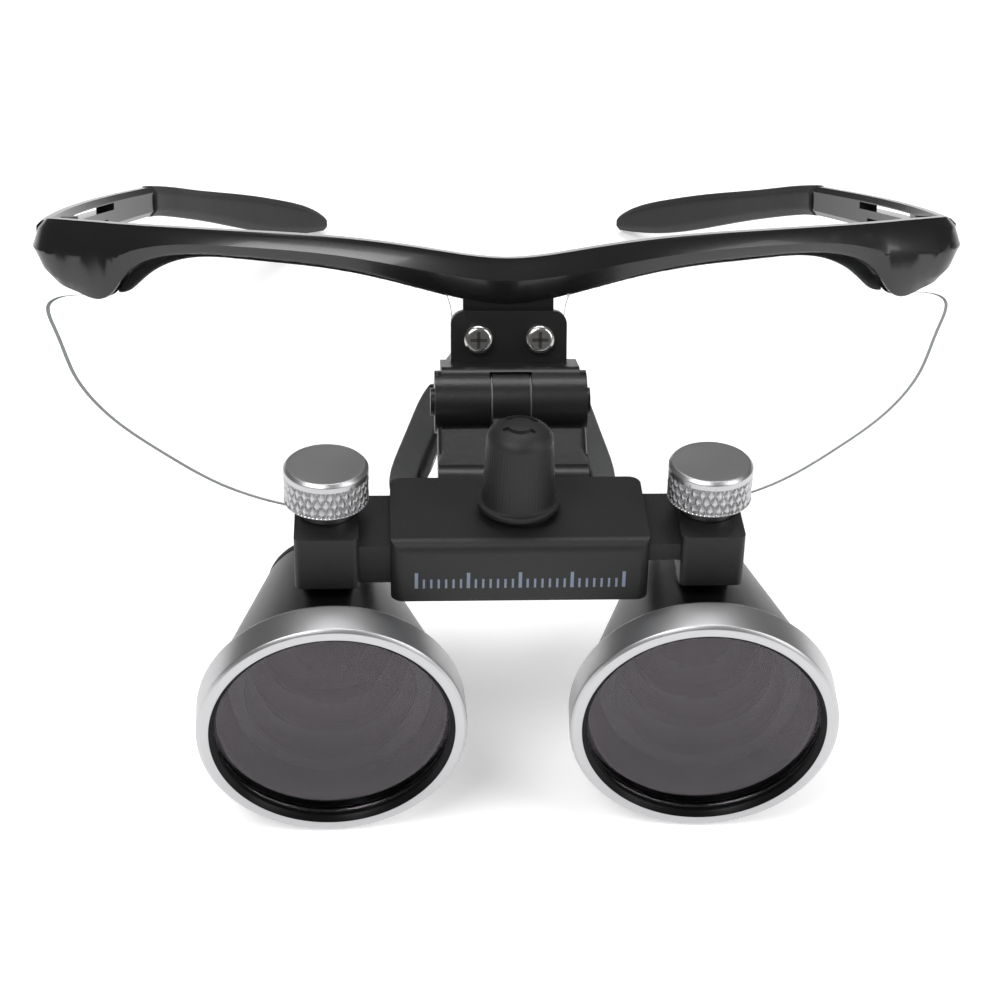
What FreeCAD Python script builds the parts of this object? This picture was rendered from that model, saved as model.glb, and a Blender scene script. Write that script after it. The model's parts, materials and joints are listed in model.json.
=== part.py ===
import FreeCAD, Part
import math
import os
import re
import Sketcher
from FreeCAD import Placement, Rotation, Vector

# Dental loupes: wrap spectacles with a flip-up pair of telescopes.
# Lengths are in millimetres and angles in degrees. "left" is the -X side.
# Four frames are used. The wearer frame has X across the face, Y towards the ears and
# Z up, with its origin midway between the temple hinges. The link, rail and barrel frames
# ride on each other below it. The row frame is the wearer frame pitched back by rest_pitch,
# which is how the loupes stand on a table: on both objective rings and both ear socks.

os.makedirs("parts", exist_ok=True)
doc = FreeCAD.newDocument("DentalLoupes")
sheet = doc.addObject("Spreadsheet::Sheet", "Sizes")

SIZES = (
    # stance on the table
    ("rest_pitch", 23.0), ("rest_height", 57.53), ("row_shift", -14.23),
    # brow frame and clear lenses, on one sphere centred behind the face
    ("lens_radius", 137.0), ("lens_depth", 115.0), ("lens_thick", 1.8), ("lens_width", 63.3),
    ("lens_height", 41.8), ("lens_gap", 13.0), ("lens_top", 0.0), ("groove_play", 0.05),
    ("brow_front", 1.3), ("brow_thick", 3.8), ("brow_bevel", 0.6), ("brow_corner", 7.0),
    ("brow_swell", 0.3),
    ("frame_width", 148.4), ("crease_rise", 0.45),
    ("liner_thick", 1.6),
    # temple hinges, temples and ear socks
    ("hinge_x", 68.9), ("hinge_y", 3.7), ("hinge_eye", 1.9), ("hinge_bore", 0.8),
    ("hinge_screw", 0.75), ("hinge_head", 1.4), ("lug_top", 2.4), ("lug_bottom", -3.4),
    ("eye_top", 0.9), ("eye_bottom", -1.9), ("hinge_gap", 0.3), ("temple_start", 2.75),
    ("joint_y", 57.0), ("joint_x", 61.4), ("tip_y", 118.5), ("tip_x", 31.5),
    ("temple_thick", 3.0), ("sock_thick", 4.2), ("tongue_length", 26.0),
    ("slot_height", 1.2), ("slot_long_start", 19.0), ("slot_long_end", 40.0),
    ("slot_long_z", 1.0), ("slot_short_start", 31.0), ("slot_short_end", 37.0),
    ("slot_short_z", -1.6),
    # nose saddle and pads
    ("saddle_y", -14.6), ("saddle_thick", 2.6), ("saddle_depth", 6.0), ("pad_thick", 2.6),
    ("pad_depth", 8.0), ("pad_flare", 37.0), ("pad_top", -21.0), ("pad_bottom", -40.0),
    # bridge bracket and its screws
    ("tab_half", 6.9), ("tab_front", -22.2), ("tab_back", -19.5), ("tab_bottom", -16.0),
    ("tab_top", -3.0), ("plate_half", 8.8), ("plate_thick", 2.2), ("plate_top", -8.5),
    ("plate_corner", 2.0), ("shoulder_half", 10.4), ("shoulder_top", -16.3),
    ("shoulder_front", -30.3), ("shoulder_back", -21.4), ("bracket_screw_x", 4.65),
    ("bracket_screw_z", -12.7), ("bracket_screw_radius", 1.2), ("bracket_hole", 1.23),
    ("bracket_head_radius", 2.25), ("bracket_head_height", 1.5), ("backing_thick", 1.2),
    ("backing_half", 6.4), ("backing_top", -9.6),
    # flip hinge
    ("flip_y", -28.0), ("flip_z", -21.7), ("flip_radius", 4.75), ("flip_half", 11.4),
    ("flip_inner", 3.15), ("flip_eye_half", 2.75), ("flip_pin_radius", 1.25),
    ("flip_hole", 1.3), ("flip_notch", 5.1), ("washer_thick", 0.3), ("washer_radius", 4.2),
    ("pin_head", 2.1), ("pin_head_thick", 0.6),
    # link between the flip hinge and the tilt hinge
    ("link_pitch", 28.9), ("link_reach", 14.28), ("link_half", 11.1), ("link_thick", 4.4),
    ("link_start", 3.7), ("link_end", 8.6), ("link_recess", 0.8), ("link_lip", 0.6),
    ("tilt_y", 12.4), ("tilt_z", -3.2), ("tilt_radius", 3.0), ("tilt_eye_inner", 3.2),
    ("tilt_lug_half", 2.9), ("tilt_pin_half", 10.8), ("tilt_pin_radius", 1.0),
    ("tilt_hole", 1.05),
    # rail housing
    ("rail_pitch", 19.3), ("rail_half", 18.3), ("rail_half_depth", 9.0), ("rail_height", 9.6),
    ("rail_round", 1.8), ("rail_soft", 0.8), ("cavity_half", 7.3), ("cavity_roof", -1.3),
    ("cavity_floor", -8.0), ("base_half", 16.5), ("base_half_depth", 7.2),
    ("base_screw_x", 13.5), ("base_screw_y", 5.2), ("base_screw_radius", 0.8),
    ("base_head_radius", 1.5), ("base_head_height", 0.5),
    # turning knob with its pinion
    ("bush_radius", 3.6), ("bush_flange", 4.9), ("bush_rise", 0.9), ("bush_bore", 2.05),
    ("shaft_radius", 2.0), ("shaft_bottom", -7.8), ("shaft_top", 9.0),
    ("gear_pitch", 3.0), ("gear_teeth", 12.0), ("gear_outer", 3.4), ("gear_root", 2.4),
    ("gear_bottom", -7.4), ("gear_top", -2.4), ("gear_tip_half", 0.16), ("gear_foot_half", 0.4),
    ("knob_base", 1.1), ("knob_rim", 6.0), ("knob_rim_top", 2.1), ("knob_foot", 5.35),
    ("knob_shoulder", 4.8), ("knob_shoulder_z", 11.8), ("knob_top", 14.3), ("knob_bore", 2.03),
    ("knob_skirt", 4.4), ("knob_skirt_z", 2.0),
    # sliding arms with their racks
    ("block_x", 27.35), ("block_half", 4.55), ("block_half_depth", 8.0), ("block_top", 0.1),
    ("block_bottom", -8.0), ("block_round", 1.0), ("block_bore", 2.55),
    ("arm_half", 6.9), ("arm_top", -1.7), ("arm_thick", 2.6), ("arm_start", 15.0),
    ("arm_corner", 4.0), ("bar_bottom", -7.7), ("bar_inner", 3.6), ("rack_end", 8.0),
    ("rack_tip", 2.6), ("rack_tip_half", 0.12), ("rack_foot_half", 0.4),
    ("rack_bottom", -7.7), ("rack_top", -1.9),
    # thumb screws
    ("thumb_radius", 6.05), ("thumb_base", 1.75), ("thumb_height", 7.85), ("thumb_chamfer", 0.5),
    ("thumb_collar", 4.1), ("thumb_shank", 1.25), ("thumb_depth", -6.5),
    # barrels, measured back from the centre of the objective ring's front face
    ("barrel_toe", 2.0), ("barrel_pitch", 6.0), ("barrel_y", -15.6), ("barrel_z", -28.0),
    ("stud_radius", 2.5), ("stud_top", -2.2), ("stud_bore", 1.3), ("saddle_radius", 4.0),
    ("saddle_gap", 0.15), ("saddle_bottom", -14.0),
    ("ring_radius", 19.5), ("ring_length", 6.0), ("ring_lip_radius", 17.0), ("ring_lip", 1.5),
    ("ring_bore", 17.65), ("ring_chamfer", 0.4), ("ring_bevel", 0.7),
    ("objective_radius", 17.5), ("objective_front", 1.0), ("objective_back", 4.1),
    ("objective_curve", 150.0),
    ("shell_front", 4.2), ("shell_spigot", 17.6), ("shell_large", 18.0), ("shell_small", 9.2),
    ("shell_end", 33.0), ("shell_wall", 1.5), ("shell_eye", 7.4),
    ("baffle_start", 9.0), ("baffle_step", 4.0), ("baffle_large", 13.9), ("baffle_drop", 1.56),
    ("baffle_wall", 0.8), ("baffle_lip", 1.2),
    ("eyepiece_radius", 7.2), ("eyepiece_front", 29.2), ("eyepiece_back", 31.8),
    ("eyepiece_curve", 40.0), ("eyecup_bore", 6.4), ("eyecup_outer", 9.0), ("eyecup_end", 34.6),
    ("eyecup_start", 33.1),
)

for row, (alias, value) in enumerate(SIZES, start=1):
    sheet.set(f"A{row}", alias)
    sheet.set(f"B{row}", str(value))
    sheet.setAlias(f"B{row}", alias)
doc.recompute()

ALIASES = {alias for alias, value in SIZES}
SIDES = (("left", -1), ("right", 1))
X_AXIS = Vector(1, 0, 0)
Z_AXIS = Vector(0, 0, 1)
nodes = []


def size(alias):
    """Read one driving dimension."""
    return float(sheet.get(alias))


def linked(text):
    """Point every alias in an expression at the sheet."""
    return re.sub(r"[a-z_]+", lambda word: "Sizes." + word[0] if word[0] in ALIASES else word[0], str(text))


def add_node(name, solid, frame):
    """Register a finished sub-part under its node name and put it in its frame."""
    solid.Label = name
    solid.Placement = frame
    nodes.append(solid)


# ---- building blocks -------------------------------------------------------------------


def box(name, x_span, y_span, z_span):
    """Box between three (low, high) pairs of expressions."""
    solid = doc.addObject("Part::Box", name)
    for length, axis, (low, high) in zip(("Length", "Width", "Height"), "xyz", (x_span, y_span, z_span)):
        solid.setExpression(length, linked(f"({high}) - ({low})"))
        solid.setExpression(f"Placement.Base.{axis}", linked(low))
    return solid


def side_box(name, side, x_span, y_span, z_span):
    """Box given for the right side and mirrored to the left when side is -1."""
    low, high = x_span
    if side < 0:
        low, high = f"-({high})", f"-({low})"
    return box(name, (low, high), y_span, z_span)


def rod(name, axis, radius, low, high, first, second):
    """Cylinder along an axis; first and second are its other two coordinates in order."""
    turns = {"x": Rotation(Vector(0, 1, 0), 90), "y": Rotation(X_AXIS, -90), "z": Rotation()}
    solid = doc.addObject("Part::Cylinder", name)
    solid.Placement = Placement(Vector(), turns[axis])
    solid.setExpression("Radius", linked(radius))
    solid.setExpression("Height", linked(f"({high}) - ({low})"))
    others = [letter for letter in "xyz" if letter != axis]
    solid.setExpression(f"Placement.Base.{axis}", linked(low))
    solid.setExpression(f"Placement.Base.{others[0]}", linked(first))
    solid.setExpression(f"Placement.Base.{others[1]}", linked(second))
    return solid


def ball(name, radius, centre_y):
    """Sphere centred on the Y axis."""
    solid = doc.addObject("Part::Sphere", name)
    solid.setExpression("Radius", linked(radius))
    solid.setExpression("Placement.Base.y", linked(centre_y))
    return solid


def fused(name, pieces):
    """One solid made of several pieces."""
    solid = doc.addObject("Part::MultiFuse", name)
    solid.Shapes = pieces
    return solid


def cut(name, base, tools):
    """The base with one or more tools taken away."""
    solid = doc.addObject("Part::Cut", name)
    solid.Base = base
    solid.Tool = tools[0] if len(tools) == 1 else fused(name + "_tools", tools)
    return solid


def common(name, first, second):
    """What two solids share."""
    solid = doc.addObject("Part::Common", name)
    solid.Base = first
    solid.Tool = second
    return solid


def rounded(name, base, radius, picks):
    """The base with a fillet on every edge that picks accepts."""
    doc.recompute()
    solid = doc.addObject("Part::Fillet", name)
    solid.Base = base
    amount = size(radius)
    edges = enumerate(base.Shape.Edges, start=1)
    solid.Edges = [(number, amount, amount) for number, edge in edges if picks(edge)]
    return solid


def runs_along(edge, axis):
    """True for a straight edge parallel to the axis."""
    if edge.Curve.TypeId != "Part::GeomLine":
        return False
    return abs(edge.Curve.Direction.dot(axis)) > 0.99


def lofted(name, sections, straight=False):
    """Solid through a row of closed outlines."""
    wires = [Part.makePolygon(outline + outline[:1]) for outline in sections]
    solid = doc.addObject("Part::Feature", name)
    solid.Shape = Part.makeLoft(wires, True, straight)
    return solid


def turned(name, plane, corners):
    """Body of revolution about the upright axis of a plane, from (radius, height) corners."""
    body = doc.addObject("PartDesign::Body", name)
    sketch = body.newObject("Sketcher::SketchObject", name + "_profile")
    origin_plane = next(item for item in body.Origin.OriginFeatures if item.Role == plane)
    sketch.AttachmentSupport = [(origin_plane, "")]
    sketch.MapMode = "FlatFace"
    count = len(corners)
    numbers = [[float(doc_value(text)) for text in corner] for corner in corners]
    points = [Vector(across, up, 0) for across, up in numbers]
    for index in range(count):
        sketch.addGeometry(Part.LineSegment(points[index], points[(index + 1) % count]), False)
    for index in range(count):
        sketch.addConstraint(Sketcher.Constraint("Coincident", index, 2, (index + 1) % count, 1))
    for index, corner in enumerate(corners):
        for kind, axis, text, number in zip(("DistanceX", "DistanceY"), (-2, -1), corner, numbers[index]):
            if abs(number) < 1e-9:
                sketch.addConstraint(Sketcher.Constraint("PointOnObject", index, 1, axis))
                continue
            label = sketch.addConstraint(Sketcher.Constraint(kind, -1, 1, index, 1, number))
            sketch.setExpression(f"Constraints[{label}]", linked(text))
    turn = body.newObject("PartDesign::Revolution", name + "_turn")
    turn.Profile = sketch
    turn.ReferenceAxis = (sketch, ["V_Axis"])
    turn.Angle = 360
    sketch.Visibility = False
    return body


def doc_value(text):
    """Value of a sheet expression made of aliases, numbers and arithmetic."""
    return sheet.evalExpression(linked(text))


# ---- frames ----------------------------------------------------------------------------


def pitched(y, z, angle):
    """Frame moved in the symmetry plane and pitched about X."""
    return Placement(Vector(0, y, z), Rotation(X_AXIS, angle))


WEARER = pitched(size("row_shift"), size("rest_height"), -size("rest_pitch"))
LINK = (WEARER * pitched(size("flip_y"), size("flip_z"), size("rail_pitch") + size("link_pitch"))
        * pitched(-size("link_reach"), 0, 0))
RAIL = LINK * pitched(0, 0, -size("link_pitch")) * pitched(-size("tilt_y"), -size("tilt_z"), 0)


def barrel_frame(side):
    """Frame of one barrel: origin at the ring's front centre, Y back along the axis."""
    swivel = Placement(Vector(side * size("block_x"), 0, 0), Rotation(Z_AXIS, -side * size("barrel_toe")))
    return RAIL * swivel * pitched(size("barrel_y"), size("barrel_z"), size("barrel_pitch"))


# ---- brow frame ------------------------------------------------------------------------

# Half outline of the brow seen from the front: distance from the middle as a fraction of the
# half width, heights of the top edge, bottom edge and front crease, and how far the top and
# bottom edges stand back from the crease.
BROW_OUTLINE = (
    (0.0, -0.7, -7.6, -4.0, 0.9, 0.9),
    (0.16, 0.6, -5.5, -2.6, 0.9, 0.9),
    (0.33, 2.1, -2.6, -0.5, 0.9, 0.9),
    (0.55, 2.8, -1.1, 0.6, 0.9, 0.9),
    (0.70, 3.0, -1.3, 0.4, 0.9, 0.9),
    (0.76, 3.05, -2.5, -0.4, 1.0, 0.9),
    (0.80, 3.1, -4.6, -1.3, 1.1, 0.9),
    (0.84, 3.15, -8.2, -1.9, 1.2, 1.0),
    (0.865, 3.2, -8.9, -1.9, 1.3, 1.2),
    (0.92, 3.25, -7.9, -1.9, 1.4, 1.6),
)
# The same numbers where the brow turns back at the corner, led by the turn in degrees.
BROW_CORNER = (
    (52, 3.2, -6.2, -1.7, 1.7, 2.2),
    (72, 3.0, -4.6, -1.4, 1.7, 2.5),
    (90, 2.7, -3.7, -1.2, 1.6, 2.4),
)


def brow_paths(side):
    """Stations of the brow: front point, inward direction and the outline numbers."""
    radius = size("lens_radius") + size("brow_front")
    half = size("frame_width") / 2
    corner = size("brow_corner")
    stations = []
    for fraction, *heights in BROW_OUTLINE:
        turn = math.asin(fraction * half / radius)
        inward = Vector(-side * math.sin(turn), math.cos(turn), 0)
        point = Vector(side * radius * math.sin(turn), size("lens_depth") - radius * math.cos(turn), 0)
        stations.append((point, inward, *heights))
    start = math.asin((half - corner) / (radius - corner))
    centre = Vector(side * (half - corner), size("lens_depth") - (radius - corner) * math.cos(start), 0)
    for degrees, *heights in BROW_CORNER:
        turn = math.radians(degrees)
        inward = Vector(-side * math.sin(turn), math.cos(turn), 0)
        stations.append((centre - inward * corner, inward, *heights))
    return stations


def brow_section(point, inward, top, bottom, crease, top_back, bottom_back):
    """Bevelled outline of the brow across its length."""
    bevel = size("brow_bevel")
    thick = size("brow_thick")
    share = size("brow_swell")
    upper = (top_back * share, top - (top - crease) * share)
    lower = (bottom_back * share, bottom + (crease - bottom) * share)
    corners = ((top_back, top), upper, (-size("crease_rise"), crease), lower, (bottom_back, bottom),
               (thick - bevel, bottom), (thick, bottom + bevel), (thick, top - bevel), (thick - bevel, top))
    return [point + inward * depth + Vector(0, 0, height) for depth, height in corners]


def sphere_shell(name, grow):
    """Shell that the lenses are cut from, grown by a clearance on both faces."""
    outer = ball(name + "_outer", f"lens_radius + {grow}", "lens_depth")
    inner = ball(name + "_inner", f"lens_radius - lens_thick - {grow}", "lens_depth")
    return cut(name, outer, [inner])


# Outline of the right lens from the front, as fractions of its width and height.
LENS_OUTLINE = (
    (0.0, -0.22), (0.02, -0.13), (0.25, -0.03), (0.52, 0.0), (0.70, -0.02), (0.79, -0.10), (0.87, -0.19),
    (0.965, -0.215),
    (1.0, -0.25), (0.985, -0.35), (0.94, -0.52), (0.845, -0.68), (0.72, -0.80), (0.58, -0.91),
    (0.38, -0.99), (0.22, -1.0), (0.09, -0.92), (0.035, -0.76), (0.005, -0.5),
)


def lens_prism(name, side):
    """Upright prism with the outline of one lens."""
    near = size("lens_gap") / 2 + 2.0
    points = []
    for across, up in LENS_OUTLINE:
        x = side * (near + across * size("lens_width"))
        points.append(Vector(x, -40, size("lens_top") + up * size("lens_height")))
    curve = Part.BSplineCurve()
    curve.interpolate(Points=points, PeriodicFlag=True)
    face = Part.Face(Part.Wire(curve.toShape()))
    solid = doc.addObject("Part::Feature", name)
    solid.Shape = face.extrude(Vector(0, 60, 0))
    return solid


def build_brow_frame():
    left = [brow_section(*station) for station in reversed(brow_paths(-1)[1:])]
    right = [brow_section(*station) for station in brow_paths(1)]
    arch = lofted("brow_arch", left + right)
    pieces = [arch]
    tab = box("bridge_tab", ("-tab_half", "tab_half"), ("tab_front", "tab_back"), ("tab_bottom", "tab_top"))
    pieces.append(tab)
    for name, side in SIDES:
        x_span = ("hinge_x - hinge_eye", "hinge_x + hinge_eye - 0.3")
        pieces.append(side_box(f"lug_web_{name}", side, x_span, ("-1.5", "hinge_y"),
                               ("lug_bottom", "lug_top")))
        pieces.append(rod(f"lug_{name}", "z", "hinge_eye", "lug_bottom", "lug_top",
                          f"{side} * hinge_x", "hinge_y"))
    solid = fused("brow_solid", pieces)
    tools = [common("lens_groove_left", sphere_shell("groove_shell_left", "groove_play"),
                    lens_prism("groove_prism_left", -1)),
             common("lens_groove_right", sphere_shell("groove_shell_right", "groove_play"),
                    lens_prism("groove_prism_right", 1))]
    for name, side in SIDES:
        tools.append(rod(f"eye_space_{name}", "z", "hinge_eye + 2 * hinge_gap", "eye_bottom - hinge_gap",
                         "eye_top + hinge_gap", f"{side} * hinge_x", "hinge_y"))
        tools.append(rod(f"lug_bore_{name}", "z", "hinge_bore", "lug_bottom - 1", "lug_top + 1",
                         f"{side} * hinge_x", "hinge_y"))
        tools.append(rod(f"tab_hole_{name}", "y", "bracket_hole", "tab_front - 1", "tab_back + 1",
                         f"{side} * bracket_screw_x", "bracket_screw_z"))
    add_node("brow_frame", cut("brow_frame_cut", solid, tools), WEARER)


# Lower edge of the liner behind the brow: fraction of the half width, top and bottom heights.
LINER_OUTLINE = (
    (0.0, -1.7, -8.2), (0.16, -0.4, -6.2), (0.33, 1.1, -3.4), (0.55, 1.8, -1.9), (0.68, 2.0, -2.1),
    (0.73, 2.0, -3.3), (0.775, 2.0, -5.4), (0.815, 2.0, -7.8), (0.83, 2.0, -8.0),
)


def build_brow_liner():
    """Thin matte cushion behind the brow, showing just below its edge."""
    outer = size("lens_radius") + size("brow_front") - size("brow_thick") - 0.05
    inner = outer - size("liner_thick")
    half = size("frame_width") / 2
    sections = []
    for side, outline in ((-1, list(reversed(LINER_OUTLINE[1:]))), (1, LINER_OUTLINE)):
        for fraction, top, bottom in outline:
            turn = side * math.asin(fraction * half / size("lens_radius"))
            away = Vector(math.sin(turn), -math.cos(turn), 0)
            centre = Vector(0, size("lens_depth"), 0)
            corners = ((outer, top), (outer, bottom), (inner, bottom), (inner, top))
            sections.append([centre + away * radius + Vector(0, 0, height) for radius, height in corners])
    add_node("brow_liner", lofted("brow_liner_loft", sections), WEARER)


def build_lenses():
    for name, side in SIDES:
        shell = sphere_shell(f"lens_shell_{name}", "0")
        add_node(f"lens_{name}", common(f"lens_{name}_cut", shell, lens_prism(f"lens_prism_{name}",
                                                                              side)), WEARER)


# ---- temples ---------------------------------------------------------------------------

# Stations of the hard temple: fraction of the way to the joint, fraction of the inward run,
# top edge and bottom edge.
TEMPLE_STATIONS = (
    (0.0, 0.0, 2.6, -3.6),
    (0.22, 0.05, 2.6, -3.4),
    (0.50, 0.27, 2.7, -3.1),
    (0.78, 0.63, 2.7, -2.8),
    (1.0, 1.0, 2.7, -2.5),
)
# Stations of the ear sock from the joint to the tip, in the same four numbers.
SOCK_STATIONS = (
    (0.0, 0.0, 2.9, -2.7),
    (0.13, 0.097, 2.1, -3.4),
    (0.29, 0.231, 0.6, -5.0),
    (0.46, 0.381, -0.9, -7.0),
    (0.62, 0.548, -2.4, -9.2),
    (0.78, 0.732, -4.3, -11.1),
    (0.91, 0.89, -6.3, -11.9),
    (1.0, 1.0, -9.0, -11.93),
)


def band(name, side, path, thick):
    """Bevelled band through (x, y, top, bottom) stations, upright and square to its path."""
    sections = []
    last = len(path) - 1
    for index, (x, y, top, bottom) in enumerate(path):
        before = path[max(index - 1, 0)]
        after = path[min(index + 1, last)]
        along = Vector(after[0] - before[0], after[1] - before[1], 0).normalize()
        across = Vector(along.y, -along.x, 0)
        half = thick / 2
        bevel = min(thick, top - bottom) * 0.3
        corners = ((half, top - bevel), (half, bottom + bevel), (half - bevel, bottom),
                   (bevel - half, bottom),
                   (-half, bottom + bevel), (-half, top - bevel), (bevel - half, top), (half - bevel, top))
        outline = [Vector(x, y, height) + across * depth for depth, height in corners]
        sections.append([Vector(side * point.x, point.y, point.z) for point in outline])
    return lofted(name, sections)


def temple_path():
    start_x = size("frame_width") / 2 - size("temple_thick") / 2 - 0.1
    run = start_x - size("joint_x")
    length = size("joint_y") - size("temple_start")
    return [(start_x - inset * run, size("temple_start") + along * length, top, bottom)
            for along, inset, top, bottom in TEMPLE_STATIONS]


def sock_path():
    run = size("joint_x") - size("tip_x")
    start = size("joint_y") + 0.15
    length = size("tip_y") - start
    return [(size("joint_x") - inset * run, start + along * length, top, bottom)
            for along, inset, top, bottom in SOCK_STATIONS]


def tongue_path():
    """Core of the temple inside the ear sock, narrower than the sock all round."""
    shrink = 1.4
    path = [(size("joint_x") + 0.9, size("joint_y") - 3, 1.2, -1.1)]
    for x, y, top, bottom in sock_path():
        if y - size("joint_y") < size("tongue_length"):
            path.append((x, y, top - shrink, bottom + shrink))
    return path


def build_temples():
    for name, side in SIDES:
        arm = band(f"temple_band_{name}", side, temple_path(), size("temple_thick"))
        tongue = band(f"temple_tongue_{name}", side, tongue_path(), size("temple_thick") / 2)
        eye = rod(f"temple_eye_{name}", "z", "hinge_eye", "eye_bottom", "eye_top", f"{side} * hinge_x",
                  "hinge_y")
        web = side_box(f"temple_web_{name}", side, ("hinge_x", "hinge_x + 3"),
                       ("temple_start", "hinge_y + hinge_eye"), ("eye_bottom", "eye_top"))
        solid = fused(f"temple_solid_{name}", [arm, tongue, eye, web])
        tools = [rod(f"temple_bore_{name}", "z", "hinge_bore", "eye_bottom - 1", "eye_top + 1",
                     f"{side} * hinge_x", "hinge_y")]
        for slot in ("slot_long", "slot_short"):
            z_span = (f"{slot}_z - slot_height / 2", f"{slot}_z + slot_height / 2")
            tools.append(side_box(f"{slot}_{name}", side, ("60", "76"), (f"{slot}_start", f"{slot}_end"),
                                  z_span))
        add_node(f"temple_{name}", cut(f"temple_{name}_cut", solid, tools), WEARER)
        sock = band(f"sock_band_{name}", side, sock_path(), size("sock_thick"))
        core = band(f"sock_core_{name}", side, tongue_path(), size("temple_thick") / 2)
        add_node(f"ear_sock_{name}", cut(f"ear_sock_{name}_cut", sock, [core]), WEARER)


def build_hinge_screws():
    for name, side in SIDES:
        shank = rod(f"hinge_shank_{name}", "z", "hinge_screw", "lug_bottom", "lug_top",
                    f"{side} * hinge_x", "hinge_y")
        head = rod(f"hinge_head_{name}", "z", "hinge_head", "lug_top + 0.02", "lug_top + 0.6",
                   f"{side} * hinge_x", "hinge_y")
        neck = rod(f"hinge_neck_{name}", "z", "hinge_screw", "lug_top", "lug_top + 0.3",
                   f"{side} * hinge_x", "hinge_y")
        add_node(f"temple_hinge_screw_{name}", fused(f"hinge_screw_{name}_solid", [shank, neck, head]),
                 WEARER)


# ---- nose saddle and pads --------------------------------------------------------------

# Arch of the nose saddle from the crown down: distance from the middle, height, set back.
SADDLE_ARCH = ((0.0, -14.2, 0.0), (4.5, -15.2, 0.2), (7.8, -18.2, 0.7), (9.3, -20.8, 1.2))
# Wing of one nose pad from the top down: distance from the middle, height as a fraction, set back.
PAD_WING = ((9.6, 0.0, 1.3), (11.2, 0.25, 2.6), (13.4, 0.55, 4.4), (15.0, 0.8, 5.8), (15.6, 1.0, 6.8))


def build_nose_saddle():
    sections = []
    half = size("saddle_thick") / 2
    deep = size("saddle_depth") / 2
    left = [(-x, z, back) for x, z, back in reversed(SADDLE_ARCH[1:])]
    arch = left + list(SADDLE_ARCH)
    last = len(arch) - 1
    for index, (x, z, back) in enumerate(arch):
        before = arch[max(index - 1, 0)]
        after = arch[min(index + 1, last)]
        along = Vector(after[0] - before[0], 0, after[1] - before[1]).normalize()
        across = Vector(-along.z, 0, along.x)
        middle = Vector(x, size("saddle_y") + back, z)
        corners = ((-deep, half), (deep, half), (deep, -half), (-deep, -half))
        sections.append([middle + Vector(0, depth, 0) + across * up for depth, up in corners])
    arch_solid = lofted("saddle_arch", sections)
    foot = box("saddle_foot", ("-4.6", "4.6"), ("tab_back + backing_thick", "saddle_y + 1"),
               ("-15.4", "-10.4"))
    add_node("nose_saddle", fused("saddle_solid", [arch_solid, foot]), WEARER)


def build_nose_pads():
    turn = math.radians(size("pad_flare"))
    half = size("pad_thick") / 2
    deep = size("pad_depth") / 2
    drop = size("pad_bottom") - size("pad_top")
    for name, side in SIDES:
        sections = []
        for x, down, back in PAD_WING:
            middle = Vector(x, size("saddle_y") + back, size("pad_top") - 0.6 + down * drop)
            shrink = 0.62 if down in (0.0, 1.0) else 1.0
            along = Vector(math.sin(turn), math.cos(turn), 0) * deep * shrink
            across = Vector(math.cos(turn), -math.sin(turn), 0) * half
            outline = [middle + along * u + across * v for u, v in
                       ((-1, -0.5), (-0.8, -1), (0.8, -1), (1, -0.5), (1, 0.5), (0.8, 1), (-0.8, 1),
                        (-1, 0.5))]
            sections.append([Vector(side * point.x, point.y, point.z) for point in outline])
        add_node(f"nose_pad_{name}", lofted(f"nose_pad_{name}_loft", sections), WEARER)


# ---- bridge bracket and flip hinge -----------------------------------------------------


def build_bridge_bracket():
    plate = box("bracket_plate", ("-plate_half", "plate_half"), ("tab_front - plate_thick", "tab_front"),
                ("shoulder_top - 1", "plate_top"))
    plate = rounded("bracket_plate_round", plate, "plate_corner",
                    lambda edge: runs_along(edge,
                                            Vector(0, 1,
                                                   0)) and edge.CenterOfMass.z > size("plate_top") - 1)
    shoulder = box("bracket_shoulder", ("-shoulder_half", "shoulder_half"),
                   ("shoulder_front", "shoulder_back"),
                   ("flip_z", "shoulder_top"))
    shoulder = rounded("bracket_shoulder_round", shoulder, "plate_corner",
                       lambda edge: runs_along(edge,
                                               X_AXIS) and edge.CenterOfMass.z > size("shoulder_top") - 1
                       and edge.CenterOfMass.y < size("flip_y"))
    barrel = rod("bracket_barrel", "x", "flip_radius", "-flip_half", "flip_half", "flip_y", "flip_z")
    solid = fused("bracket_solid", [plate, shoulder, barrel])
    tools = [box("bracket_notch", ("-flip_inner", "flip_inner"),
                 ("flip_y - 9", "flip_y + flip_notch - 0.06"),
                 ("flip_z - 6", "shoulder_top - 0.6")),
             rod("bracket_bore", "x", "flip_pin_radius + 0.03", "-flip_half - 1", "flip_half + 1",
                 "flip_y", "flip_z")]
    for name, side in SIDES:
        tools.append(rod(f"bracket_hole_{name}", "y", "bracket_hole", "tab_front - plate_thick - 1",
                         "tab_front + 1",
                         f"{side} * bracket_screw_x", "bracket_screw_z"))
    add_node("bridge_bracket", cut("bracket_cut", solid, tools), WEARER)


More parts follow.
